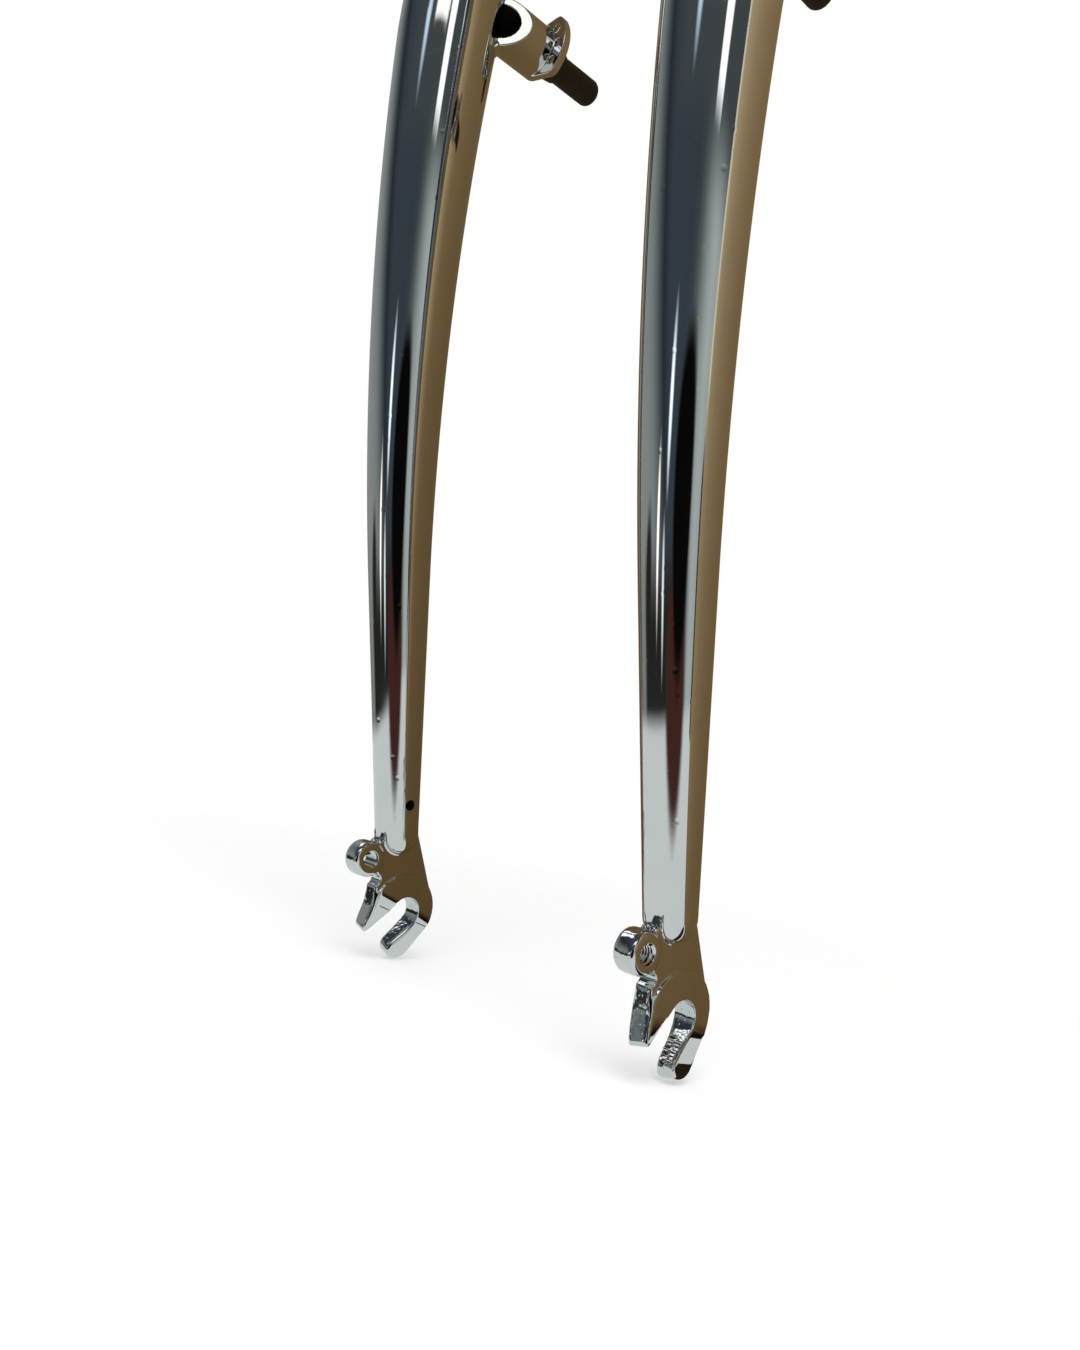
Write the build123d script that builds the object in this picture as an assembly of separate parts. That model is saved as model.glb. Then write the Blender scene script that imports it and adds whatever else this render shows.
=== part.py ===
from build123d import *
import math
import os

# Rigid steel bicycle fork for a 26 inch wheel: a plain steerer, two raked and tapered blades that
# curve in at the crown, slotted fork ends with fender eyelets, and cantilever brake bosses.
# X points to the front of the bicycle, Y to its left and Z up the steering axis. The origin is on that
# axis, in the plane that the crown race sits on. Lengths are in millimetres and angles in degrees.

# Steerer and crown race seat
STEERER_DIAMETER = 28.6
STEERER_WALL = 1.6
STEERER_LENGTH = 250.0
STEERER_FOOT = 44.0
SEAT_DIAMETER = 30.0
SEAT_HEIGHT = 8.0
SHOULDER_DIAMETER = 36.0
SHOULDER_HEIGHT = 6.0

# Hub seat
HUB_WIDTH = 100.0
RAKE = 44.0
AXLE_DROP = 409.4

# Blades
BLADE_DIAMETER = 28.6
BLADE_TIP_DIAMETER = 12.8
BLADE_WALL = 1.2
BLADE_SPREAD = 101.0
CROWN_CROSSING = 18.0
CROWN_SLOPE = 65.0
CROWN_BEND_RADIUS = 55.0
RAKE_BEND_ABOVE_AXLE = 276.4
RAKE_BEND_START = AXLE_DROP - RAKE_BEND_ABOVE_AXLE
RAKE_BEND_RADIUS = 800.0
RAKE_BEND_ANGLE = 12.95
TAPER_ABOVE_AXLE = 251.4
TAPER_START = AXLE_DROP - TAPER_ABOVE_AXLE
BLADE_END_ABOVE_AXLE = 23.4
BLADE_END = AXLE_DROP - BLADE_END_ABOVE_AXLE
TAPER_SECTIONS = 10
WELD_GAP = 0.1
VENT_DIAMETER = 3.2
VENT_HEIGHT = 9.4

# Fork ends
PLATE_THICKNESS = 5.0
PAD_THICKNESS = 6.4
PAD_RADIUS = 11.2
PAD_BEHIND_AXLE = 1.0
PAD_ABOVE_AXLE = 0.6
SLOT_WIDTH = 9.5
SLOT_ANGLE = 41.0
FRONT_PRONG_RADIUS = 4.4
FRONT_PRONG_AHEAD_OF_AXLE = 1.4
FRONT_PRONG_BELOW_AXLE = 9.6
FRONT_PRONG_CORNER_RADIUS = 2.6
REAR_PRONG_RADIUS = 2.4
REAR_PRONG_BEHIND_AXLE = 10.6
REAR_PRONG_BELOW_AXLE = 4.8
REAR_PRONG_CORNER_RADIUS = 1.0
LIP_CREASE_BELOW_AXLE = 0.8
LIP_CREASE_ANGLE = 17.2
LIP_FLARE_ANGLE = 13.5
LIP_TAPER_ANGLE = 6.0
LIP_BEND_RADIUS = 3.0
NECK_INSET = 1.0
NECK_HEIGHT = 3.4
TANG_LENGTH = 14.0
BRAZE_GAP = 0.15
EYELET_BEHIND_AXLE = 16.4
EYELET_ABOVE_AXLE = 15.2
EYELET_DIAMETER = 10.5
EYELET_HOLE_DIAMETER = 5.0
EYELET_THICKNESS = 6.4
EYELET_EDGE_RADIUS = 1.3
NOTCH_RADIUS = 1.7
NOTCH_BELOW_EYELET = 6.0
NOTCH_AHEAD_OF_EYELET = 3.7

# Brake bosses and their pivot studs
BOSS_ABOVE_AXLE = 259.4
BOSS_SPREAD = 83.6
BOSS_DIAMETER = 15.0
BOSS_BORE_DIAMETER = 10.4
BOSS_FACE = 25.2
MITRE_ANGLE = 46.3
MITRE_AT_AXIS = 8.5
EAR_THICKNESS = 2.6
EAR_RADIUS = 12.0
EAR_HALF_ANGLE = 48.0
EAR_CORNER_RADIUS = 3.0
EAR_EDGE_RADIUS = 0.5
SPRING_HOLE_DIAMETER = 2.4
SPRING_HOLE_RADIUS = 9.0
SPRING_HOLE_ANGLE = 33.0
STUD_DIAMETER = 8.0
STUD_LENGTH = 16.0
STUD_TIP_RADIUS = 2.6
STUD_SHOULDER_DIAMETER = 10.6
STUD_SHOULDER_TOP_DIAMETER = 9.0
STUD_SHOULDER_LENGTH = 6.3
STUD_SHANK_LENGTH = 8.0
STUD_SHANK_CLEARANCE = 0.1
STUD_BOLT_DIAMETER = 5.0
STUD_BOLT_DEPTH = 12.0

# Places that follow from the sizes above
steerer_radius = STEERER_DIAMETER / 2
blade_radius = BLADE_DIAMETER / 2
tip_radius = BLADE_TIP_DIAMETER / 2
plate_y = HUB_WIDTH / 2 + PAD_THICKNESS / 2
lean = math.atan2(plate_y - BLADE_SPREAD / 2, AXLE_DROP)
bend = math.radians(RAKE_BEND_ANGLE)
front = Vector(1, 0, 0)
down = Vector(0, math.sin(lean), -math.cos(lean))


def blade_y(drop):
    return BLADE_SPREAD / 2 + math.tan(lean) * drop


rake_start = Vector(0, blade_y(RAKE_BEND_START), -RAKE_BEND_START)
bend_end = rake_start + down * (RAKE_BEND_RADIUS * math.sin(bend))
bend_end += front * (RAKE_BEND_RADIUS * (1 - math.cos(bend)))
tip_direction = down * math.cos(bend) + front * math.sin(bend)
bend_length = RAKE_BEND_RADIUS * bend
straight_length = (BLADE_END + bend_end.Z) / -tip_direction.Z
tip_length = bend_length + straight_length
taper_length = RAKE_BEND_RADIUS * math.asin((TAPER_START - RAKE_BEND_START) / RAKE_BEND_RADIUS)


def axis_point(length):
    """Point of the blade's axis, and its direction there, at a length below the start of the rake."""
    if length > bend_length:
        return bend_end + tip_direction * (length - bend_length), tip_direction
    angle = length / RAKE_BEND_RADIUS
    point = rake_start + down * (RAKE_BEND_RADIUS * math.sin(angle))
    point += front * (RAKE_BEND_RADIUS * (1 - math.cos(angle)))
    return point, down * math.cos(angle) + front * math.sin(angle)


def taper_radius(length):
    share = (length - taper_length) / (tip_length - taper_length)
    return blade_radius + (tip_radius - blade_radius) * share


tip_centre = axis_point(tip_length)[0]
tip_plane = Plane(
    (tip_centre.X, plate_y, tip_centre.Z),
    x_dir=(math.cos(bend), 0, math.sin(bend)),
    z_dir=(math.sin(bend), 0, -math.cos(bend)),
)


def blade_bar(inset):
    """The left blade as a solid bar, its surface set in by a distance."""
    slope = math.radians(CROWN_SLOPE)
    reach = blade_y(CROWN_CROSSING) / (math.sin(slope) - math.cos(slope) * math.tan(lean))
    crossing = Vector(0, 0, -CROWN_CROSSING)
    corner = crossing + Vector(0, math.sin(slope), -math.cos(slope)) * reach
    crown = FilletPolyline(crossing, corner, rake_start, radius=CROWN_BEND_RADIUS)
    rake = ThreePointArc(rake_start, axis_point(taper_length / 2)[0], axis_point(taper_length)[0])
    path = Wire(crown.edges() + rake.edges())
    round_part = sweep(Plane(path @ 0, z_dir=path % 0) * Circle(blade_radius - inset), path=path)
    step = (tip_length - taper_length) / TAPER_SECTIONS
    sections = []
    for number in range(TAPER_SECTIONS + 1):
        length = taper_length + step * number
        point, direction = axis_point(length)
        sections.append(Plane(point, x_dir=front.cross(direction), z_dir=direction)
                        * Circle(taper_radius(length) - inset))
    return round_part + loft(sections) + Pos(tip_centre) * Sphere(tip_radius - inset)


def blade():
    """The left blade: a tube, coped to the steerer, with a slotted round end and a vent hole."""
    tube = blade_bar(0) - blade_bar(BLADE_WALL)
    tube -= Cylinder(steerer_radius + WELD_GAP, 2 * AXLE_DROP)
    other_side = Pos(0, WELD_GAP, 0) * Box(
        4 * blade_radius, 2 * HUB_WIDTH, 2 * AXLE_DROP, align=(Align.CENTER, Align.MAX, Align.CENTER))
    tube -= other_side
    slot = Box(2 * BLADE_DIAMETER, PLATE_THICKNESS, BLADE_DIAMETER,
               align=(Align.CENTER, Align.CENTER, Align.MIN))
    tube -= tip_plane * Pos(0, 0, NECK_INSET - BRAZE_GAP) * slot
    vent_point = tip_centre - tip_direction * VENT_HEIGHT
    vent = Pos(vent_point) * Rot(90, 0, 0) * Cylinder(
        VENT_DIAMETER / 2, BLADE_DIAMETER, align=(Align.CENTER, Align.CENTER, Align.MIN))
    return tube - vent


def flared_sheet():
    """Sheet for the hub seat, about y = 0: flat above the lips' crease, bent outward and thinner below it."""
    flare = math.radians(LIP_FLARE_ANGLE)
    outer_flare = math.radians(LIP_FLARE_ANGLE - LIP_TAPER_ANGLE)
    fall = math.radians(LIP_CREASE_ANGLE)
    half = PAD_THICKNESS / 2
    mitre = half * math.tan(flare / 2)
    reach = 2 * PAD_RADIUS
    inner_end = Vector(-half, -mitre) + Vector(math.sin(flare), -math.cos(flare)) * reach
    outer_end = Vector(half, mitre) + Vector(math.sin(outer_flare), -math.cos(outer_flare)) * reach
    section = make_face(Polyline(
        (-half, reach), (-half, -mitre), inner_end, outer_end, (half, mitre), (half, reach), close=True))
    outer_bend = section.vertices().sort_by_distance((half, mitre))[0]
    section = fillet(outer_bend, LIP_BEND_RADIUS)
    inner_bend = section.vertices().sort_by_distance((-half, -mitre))[0]
    section = fillet(inner_bend, LIP_BEND_RADIUS + PAD_THICKNESS)
    crease = Plane(
        (RAKE, 0, -AXLE_DROP - LIP_CREASE_BELOW_AXLE),
        x_dir=(0, 1, 0),
        z_dir=(math.cos(fall), 0, -math.sin(fall)),
    )
    return extrude(crease * section, reach, both=True)


def fork_end():
    """The left fork end: a thick hub seat with an open axle slot, a thinner neck, an eyelet and a tang."""
    axle = Vector(RAKE, -AXLE_DROP)
    pad_centre = axle + Vector(-PAD_BEHIND_AXLE, PAD_ABOVE_AXLE)
    front_prong_centre = axle + Vector(FRONT_PRONG_AHEAD_OF_AXLE, -FRONT_PRONG_BELOW_AXLE)
    rear_prong_centre = axle + Vector(-REAR_PRONG_BEHIND_AXLE, -REAR_PRONG_BELOW_AXLE)
    eyelet_centre = axle + Vector(-EYELET_BEHIND_AXLE, EYELET_ABOVE_AXLE)
    notch_centre = eyelet_centre + Vector(NOTCH_AHEAD_OF_EYELET, -NOTCH_BELOW_EYELET)
    end_centre = Vector(tip_centre.X, tip_centre.Z)
    across = Vector(math.cos(bend), math.sin(bend)) * tip_radius
    along = Vector(math.sin(bend), -math.cos(bend))
    pad = Pos(pad_centre) * Circle(PAD_RADIUS)
    front_prong = Pos(front_prong_centre) * Circle(FRONT_PRONG_RADIUS)
    rear_prong = Pos(rear_prong_centre) * Circle(REAR_PRONG_RADIUS)
    notch = Pos(notch_centre) * Circle(NOTCH_RADIUS)
    slot = Pos(axle) * Circle(SLOT_WIDTH / 2)
    slot += Pos(axle) * Rot(0, 0, -SLOT_ANGLE) * Rectangle(
        SLOT_WIDTH, 2 * PAD_RADIUS, align=(Align.CENTER, Align.MAX))
    hub_seat = make_hull(pad.edges() + front_prong.edges() + rear_prong.edges()) - notch - slot
    crease_point = axle + Vector(0, -LIP_CREASE_BELOW_AXLE)
    crease = Pos(crease_point) * Rot(0, 0, -LIP_CREASE_ANGLE)
    above = crease * Rectangle(AXLE_DROP, AXLE_DROP, align=(Align.CENTER, Align.MIN))
    bend_overlap = PAD_THICKNESS / 2 * math.tan(math.radians(LIP_FLARE_ANGLE))
    below = crease * Pos(0, bend_overlap) * Rectangle(AXLE_DROP, AXLE_DROP, align=(Align.CENTER, Align.MAX))
    pads = extrude(Plane.XZ * (hub_seat & above), PAD_THICKNESS, both=True)
    lips = extrude(Plane.XZ * (hub_seat & below), PAD_THICKNESS, both=True)
    slot_angle = math.radians(SLOT_ANGLE)
    slot_way = Vector(-math.sin(slot_angle), 0, -math.cos(slot_angle))
    to_wall = Vector(math.cos(slot_angle), 0, -math.sin(slot_angle)) * (SLOT_WIDTH / 2)
    slot_middle = Vector(RAKE, 0, -AXLE_DROP) + slot_way * (0.8 * SLOT_WIDTH)
    for wall_point, radius in ((slot_middle + to_wall, FRONT_PRONG_CORNER_RADIUS),
                               (slot_middle - to_wall, REAR_PRONG_CORNER_RADIUS)):
        wall = lips.faces().sort_by_distance(wall_point)[0]
        wall_end = wall.edges().filter_by(Axis.Y).sort_by(Axis(slot_middle, slot_way))[-1].center()
        lips = fillet(lips.edges().filter_by(Axis.Y).sort_by_distance(wall_end)[0], radius)
    fall = math.radians(LIP_CREASE_ANGLE)
    crease_axis = Axis((crease_point.X, 0, crease_point.Y), (math.cos(fall), 0, -math.sin(fall)))
    seat = (pads + lips.rotate(crease_axis, LIP_FLARE_ANGLE)) & flared_sheet()
    shoulder_rear = end_centre + along * NECK_INSET - across
    shoulder_front = end_centre + along * NECK_INSET + across
    cheek_front = end_centre + along * (NECK_INSET + NECK_HEIGHT) + across
    neck_top = Polyline(shoulder_rear, shoulder_front, cheek_front)
    neck = make_hull(pad.edges() + neck_top.edges())
    turn = Rot(0, 0, RAKE_BEND_ANGLE)
    bore_radius = tip_radius - BLADE_WALL - BRAZE_GAP
    tang_width = 2 * math.sqrt(bore_radius ** 2 - (PLATE_THICKNESS / 2) ** 2)
    tang = Pos(end_centre + along * NECK_INSET) * turn * Rectangle(
        tang_width, TANG_LENGTH + NECK_INSET, align=(Align.CENTER, Align.MIN))
    plate = extrude(Plane.XZ * ((neck + tang - notch - slot) & above), PLATE_THICKNESS / 2, both=True)
    eyelet = Cylinder(EYELET_DIAMETER / 2, EYELET_THICKNESS)
    eyelet = fillet(eyelet.edges().filter_by(GeomType.CIRCLE), EYELET_EDGE_RADIUS)
    eyelet = Plane.XZ * Pos(eyelet_centre) * eyelet
    hole = Plane.XZ * Pos(eyelet_centre) * Cylinder(EYELET_HOLE_DIAMETER / 2, 2 * EYELET_THICKNESS)
    return Pos(0, plate_y, 0) * (seat + plate + eyelet - hole)


boss_axis = Pos(0, BOSS_SPREAD / 2, BOSS_ABOVE_AXLE - AXLE_DROP)
stud_seat = BOSS_FACE + EAR_THICKNESS


def brake_boss():
    """The left brake boss: a tube coped to the blade, with an ear for the spring on its inner side."""
    body = extrude(Plane.YZ * Circle(BOSS_DIAMETER / 2), BOSS_FACE)
    half_angle = math.radians(EAR_HALF_ANGLE)
    ear_arc = ThreePointArc(
        (-EAR_RADIUS * math.cos(half_angle), EAR_RADIUS * math.sin(half_angle)),
        (-EAR_RADIUS, 0),
        (-EAR_RADIUS * math.cos(half_angle), -EAR_RADIUS * math.sin(half_angle)))
    ear = make_hull(Circle(BOSS_DIAMETER / 2).edges() + ear_arc.edges())
    ear = fillet(ear.vertices().sort_by_distance((0, 0))[-2:], EAR_CORNER_RADIUS)
    ear = extrude(Plane.YZ.offset(BOSS_FACE) * ear, EAR_THICKNESS)
    ear = fillet(ear.faces().sort_by(Axis.X)[-1].edges(), EAR_EDGE_RADIUS)
    boss = body + ear
    boss -= extrude(Plane.YZ * Circle(BOSS_BORE_DIAMETER / 2), stud_seat)
    for angle in (-SPRING_HOLE_ANGLE, 0, SPRING_HOLE_ANGLE):
        place = Rot(0, 0, angle) * Pos(-SPRING_HOLE_RADIUS, 0)
        boss -= extrude(Plane.YZ * place * Circle(SPRING_HOLE_DIAMETER / 2), stud_seat)
    mitre = Pos(MITRE_AT_AXIS, 0, 0) * Rot(0, 0, MITRE_ANGLE) * Box(
        4 * BOSS_DIAMETER, 4 * BOSS_DIAMETER, 4 * BOSS_DIAMETER,
        align=(Align.MAX, Align.CENTER, Align.CENTER))
    return boss_axis * (boss - mitre) - blade_bar(-WELD_GAP)


def pivot_stud():
    """The left pivot stud: a shank inside the boss, a tapered shoulder and the pin for the brake arm."""
    shank_radius = BOSS_BORE_DIAMETER / 2 - STUD_SHANK_CLEARANCE
    shoulder_top = stud_seat + STUD_SHOULDER_LENGTH
    tip = shoulder_top + STUD_LENGTH
    pin_radius = STUD_DIAMETER / 2
    profile = Polyline(
        (stud_seat - STUD_SHANK_LENGTH, 0),
        (stud_seat - STUD_SHANK_LENGTH, shank_radius),
        (stud_seat, shank_radius),
        (stud_seat, STUD_SHOULDER_DIAMETER / 2),
        (shoulder_top, STUD_SHOULDER_TOP_DIAMETER / 2),
        (shoulder_top, pin_radius),
        (tip, pin_radius),
        (tip, 0),
        close=True)
    stud = revolve(make_face(profile), Axis.X)
    stud = fillet(stud.edges().filter_by(GeomType.CIRCLE).sort_by(Axis.X)[-1], STUD_TIP_RADIUS)
    bolt_hole = Pos(tip, 0, 0) * Rot(0, 90, 0) * Cylinder(
        STUD_BOLT_DIAMETER / 2, STUD_BOLT_DEPTH, align=(Align.CENTER, Align.CENTER, Align.MAX))
    return boss_axis * (stud - bolt_hole)


def steerer():
    """The steerer: a tube with the crown race seat and its shoulder turned on the lower end."""
    bore_radius = steerer_radius - STEERER_WALL
    profile = Polyline(
        (bore_radius, -STEERER_FOOT),
        (steerer_radius, -STEERER_FOOT),
        (steerer_radius, -SHOULDER_HEIGHT),
        (SHOULDER_DIAMETER / 2, -SHOULDER_HEIGHT),
        (SHOULDER_DIAMETER / 2, 0),
        (SEAT_DIAMETER / 2, 0),
        (SEAT_DIAMETER / 2, SEAT_HEIGHT),
        (steerer_radius, SEAT_HEIGHT),
        (steerer_radius, STEERER_LENGTH),
        (bore_radius, STEERER_LENGTH),
        close=True)
    return revolve(Plane.XZ * make_face(profile), Axis.Z)


os.makedirs("parts", exist_ok=True)
export_step(steerer(), "parts/steerer_tube.step")
sided_pieces = {
    "fork_blade": blade(),
    "fork_end": fork_end(),
    "brake_boss": brake_boss(),
    "pivot_stud": pivot_stud(),
}
for name, piece in sided_pieces.items():
    export_step(piece, f"parts/{name}_left.step")
    export_step(mirror(piece, about=Plane.XZ), f"parts/{name}_right.step")
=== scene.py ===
# %% [markdown]
# # A chromed bicycle fork
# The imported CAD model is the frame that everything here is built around. It is in metres, with X to the
# front of the bicycle, Y to its left and Z up the steering axis. Each CAD piece is modelled again with the
# marks that making leaves on a real fork: weld beads, braze, softened edges, threads. The left side is
# modelled and the right side is its mirror image, apart from some torn steel in one slot.

# %% Load the frame
import math

import bpy
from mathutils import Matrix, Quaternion, Vector


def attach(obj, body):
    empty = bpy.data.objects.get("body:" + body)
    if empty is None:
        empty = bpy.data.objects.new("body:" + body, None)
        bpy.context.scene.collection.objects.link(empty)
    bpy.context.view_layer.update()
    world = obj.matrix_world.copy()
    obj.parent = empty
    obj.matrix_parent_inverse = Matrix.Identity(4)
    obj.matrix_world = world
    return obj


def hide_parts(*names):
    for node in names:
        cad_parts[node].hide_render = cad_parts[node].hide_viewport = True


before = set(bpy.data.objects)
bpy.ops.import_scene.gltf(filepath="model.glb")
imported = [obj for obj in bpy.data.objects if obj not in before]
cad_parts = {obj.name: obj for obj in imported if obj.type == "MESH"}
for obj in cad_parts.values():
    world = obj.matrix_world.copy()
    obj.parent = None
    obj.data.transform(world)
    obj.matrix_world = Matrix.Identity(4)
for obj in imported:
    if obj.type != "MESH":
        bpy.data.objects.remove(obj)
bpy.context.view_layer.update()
bpy.ops.object.select_all(action="DESELECT")
print("CAD nodes:", ", ".join(sorted(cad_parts)))

# %% [markdown]
# ## Small helpers
# Lengths are written in millimetres, as on a drawing, and turned into metres on the way in. Operators work
# on what is selected, so each step first selects just the piece that it is about.

# %% Helpers for lengths and selection
MM = 0.001
quarter = math.pi / 2


def mm(x, y, z):
    return Vector((x, y, z)) * MM


def select_only(*pieces):
    bpy.ops.object.select_all(action="DESELECT")
    for piece in pieces:
        piece.select_set(True)
    bpy.context.view_layer.objects.active = pieces[-1]


print("one millimetre is", MM, "m")

# %% [markdown]
# ## Chrome plate
# The plating is a mirror with a slightly blue tint. What tells the eye that it is a thin skin over polished
# steel is small: the polish is not the same everywhere, the surface waves by a few microns over some
# millimetres, and here and there it has a pit. Sheared edges were never polished, so the plate lies over a
# torn surface there. All scales come from real millimetres in Object coordinates.


# %% Material helpers
def colour(code):
    """Linear colour from an sRGB hex code."""
    parts = [int(code[i:i + 2], 16) / 255 for i in (1, 3, 5)]
    return [p / 12.92 if p <= 0.04045 else ((p + 0.055) / 1.055) ** 2.4 for p in parts] + [1.0]


def add_node(tree, kind, inputs=None, stops=(), **settings):
    """Adds a node with its settings. An input is a value, or a socket to link from. Stops are for a ramp."""
    node = tree.nodes.new("ShaderNode" + kind)
    for number, (place, code) in enumerate(stops):
        stop = node.color_ramp.elements[number] if number < 2 else node.color_ramp.elements.new(place)
        stop.position = place
        stop.color = colour(code)
    for key, value in settings.items():
        setattr(node, key, value)
    for key, value in (inputs or {}).items():
        if isinstance(value, bpy.types.NodeSocket):
            tree.links.new(value, node.inputs[key])
        else:
            node.inputs[key].default_value = value
    return node


def new_material(name):
    material = bpy.data.materials.new(name)
    material.use_nodes = True
    material.node_tree.nodes.clear()
    return material, material.node_tree


# %% Chrome over polished and over sheared steel
CLOUD_SIZE = 9.09
WAVE_SPACING = 7.14


def chrome(name, tints, roughness, wave_depth, grain_size, grain_depth, pit_spacing, pit_depth):
    """Mirror plate. Sizes, spacings and depths are in millimetres."""
    material, tree = new_material(name)
    place = add_node(tree, "TexCoord").outputs["Object"]
    cloud = add_node(tree, "TexNoise", {"Vector": place, "Scale": 1000.0 / CLOUD_SIZE, "Detail": 4.0})
    tint = add_node(tree, "Mix", {0: cloud.outputs["Fac"], 6: colour(tints[0]), 7: colour(tints[1])},
                    data_type="RGBA")
    rough = add_node(tree, "MapRange", {"Value": cloud.outputs["Fac"], "From Min": 0.3, "From Max": 0.7,
                                        "To Min": roughness[0], "To Max": roughness[1]})
    wave = add_node(tree, "TexNoise", {"Vector": place, "Scale": 1000.0 / WAVE_SPACING, "Detail": 1.0})
    waves = add_node(tree, "Bump", {"Height": wave.outputs["Fac"], "Distance": wave_depth * MM})
    grain = add_node(tree, "TexNoise", {"Vector": place, "Scale": 1000.0 / grain_size, "Detail": 3.0})
    grains = add_node(tree, "Bump", {"Height": grain.outputs["Fac"], "Distance": grain_depth * MM,
                                     "Normal": waves.outputs["Normal"]})
    pit = add_node(tree, "TexVoronoi", {"Vector": place, "Scale": 1000.0 / pit_spacing})
    depth = add_node(tree, "MapRange", {"Value": pit.outputs["Distance"], "From Min": 0.05, "From Max": 0.18})
    pits = add_node(tree, "Bump", {"Height": depth.outputs["Result"], "Distance": pit_depth * MM,
                                   "Normal": grains.outputs["Normal"]})
    shader = add_node(tree, "BsdfPrincipled", {"Base Color": tint.outputs[2], "Metallic": 1.0,
                                               "Roughness": rough.outputs["Result"],
                                               "Normal": pits.outputs["Normal"]})
    add_node(tree, "OutputMaterial", {"Surface": shader.outputs["BSDF"]})
    return material


polished_chrome = chrome("chrome plate over polished steel", ("#CDD0D3", "#D9DBDC"), (0.03, 0.06),
                         0.006, 0.8, 0.0004, 5.0, 0.01)
rough_chrome = chrome("chrome plate over sheared steel", ("#C3C7CA", "#DADDDE"), (0.05, 0.12),
                      0.02, 0.7, 0.012, 1.3, 0.09)
print("plated:", polished_chrome.name, "and", rough_chrome.name)

# %% [markdown]
# ## Black oxide and bare steel
# The studs are not plated, since the brake arms turn on them. A hot salt bath leaves them a dull brown
# black, with faint rings from the lathe. The insides of holes are bare steel, which plating does not reach,
# painted near black as the shade deep inside a hole. The lathe's rings are drawn coarser than they are, so
# that they show.

# %% Dark steels
PATCH_SIZE = 3.85
RING_SPACING = 1.208
SPECK_SIZE = 0.625
RINGS_PER_UNIT = 10 / math.pi


def dark_steel(name, low, high, roughness, metallic):
    material, tree = new_material(name)
    place = add_node(tree, "TexCoord").outputs["Object"]
    patch = add_node(tree, "TexNoise", {"Vector": place, "Scale": 1000.0 / PATCH_SIZE, "Detail": 5.0})
    tint = add_node(tree, "Mix", {0: patch.outputs["Fac"], 6: colour(low), 7: colour(high)}, data_type="RGBA")
    ring = add_node(tree, "TexWave", {"Vector": place, "Scale": 1000.0 / RING_SPACING / RINGS_PER_UNIT,
                                      "Distortion": 0.6, "Detail": 2.0}, bands_direction="X")
    rings = add_node(tree, "Bump", {"Height": ring.outputs["Fac"], "Distance": 0.012 * MM})
    speck = add_node(tree, "TexNoise", {"Vector": place, "Scale": 1000.0 / SPECK_SIZE, "Detail": 3.0})
    specks = add_node(tree, "Bump", {"Height": speck.outputs["Fac"], "Distance": 0.006 * MM,
                                     "Normal": rings.outputs["Normal"]})
    shader = add_node(tree, "BsdfPrincipled", {"Base Color": tint.outputs[2], "Metallic": metallic,
                                               "Roughness": roughness, "Normal": specks.outputs["Normal"]})
    add_node(tree, "OutputMaterial", {"Surface": shader.outputs["BSDF"]})
    return material


black_oxide = dark_steel("black oxide steel", "#160F05", "#281D0B", 0.5, 0.35)
# Bare steel painted near black: painted shade for the insides of holes and the gaps between ridges.
bare_steel_painted_shade = dark_steel("bare steel gone dark", "#050404", "#0C0A09", 0.95, 0.0)
print("unplated:", black_oxide.name, "and", bare_steel_painted_shade.name)

# %% [markdown]
# ## Fork blades
# A blade starts as a straight tapered tube. One press bends it in at the crown and another rakes its lower
# half forward, so a Bezier curve through the bends, with a round bevel that shrinks along it, follows how it
# was made. The handle of each curve point has the length that makes a Bezier arc nearly circular.

# %% Stations along the left blade
BLADE_RADIUS = 14.3
TIP_RADIUS = 6.4
CROWN = Vector((0, 0, -18.0))
CROWN_SLOPE = math.radians(65)
LEAN = math.radians(0.378)
RAKE_START = Vector((0, 51.377, -133.0))
RAKE = math.radians(12.95)
BEND_RADIUS = 800.0
BEND_END_RADIUS = 8.982
TAPER_BELOW_RAKE_START = 25.0
STRAIGHT_TIP = 75.65


def rake_station(angle):
    """Point and direction on the rake bend, at an angle past its start."""
    down = Vector((0, math.sin(LEAN), -math.cos(LEAN)))
    point = RAKE_START + down * BEND_RADIUS * math.sin(angle)
    point.x += BEND_RADIUS * (1 - math.cos(angle))
    direction = down * math.cos(angle)
    direction.x += math.sin(angle)
    return point, direction


inward = Vector((0, math.sin(CROWN_SLOPE), -math.cos(CROWN_SLOPE)))
straight = rake_station(0)[1]
taper_point, taper_direction = rake_station(math.asin(TAPER_BELOW_RAKE_START / BEND_RADIUS))
bend_point, tip_direction = rake_station(RAKE)
tip_point = bend_point + tip_direction * STRAIGHT_TIP
stations = [
    (CROWN, inward, BLADE_RADIUS),
    (Vector((0, 19.25, -26.98)), inward, BLADE_RADIUS),
    (Vector((0, 51.004, -76.47)), straight, BLADE_RADIUS),
    (RAKE_START, straight, BLADE_RADIUS),
    (taper_point, taper_direction, BLADE_RADIUS),
    (bend_point, tip_direction, BEND_END_RADIUS),
    (tip_point, tip_direction, TIP_RADIUS),
]
print("blade from", stations[0][0][:], "to", [round(number, 1) for number in tip_point])


# %% The bent and tapered tube
def handle_length(a, b):
    """Length of the handles between two stations, for an arc that turns from one direction to the other."""
    chord = (b[0] - a[0]).length
    turn = a[1].angle(b[1])
    if turn < 0.0001:
        return chord / 3
    return 4 / 3 * math.tan(turn / 4) * chord / (2 * math.sin(turn / 2))


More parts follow.
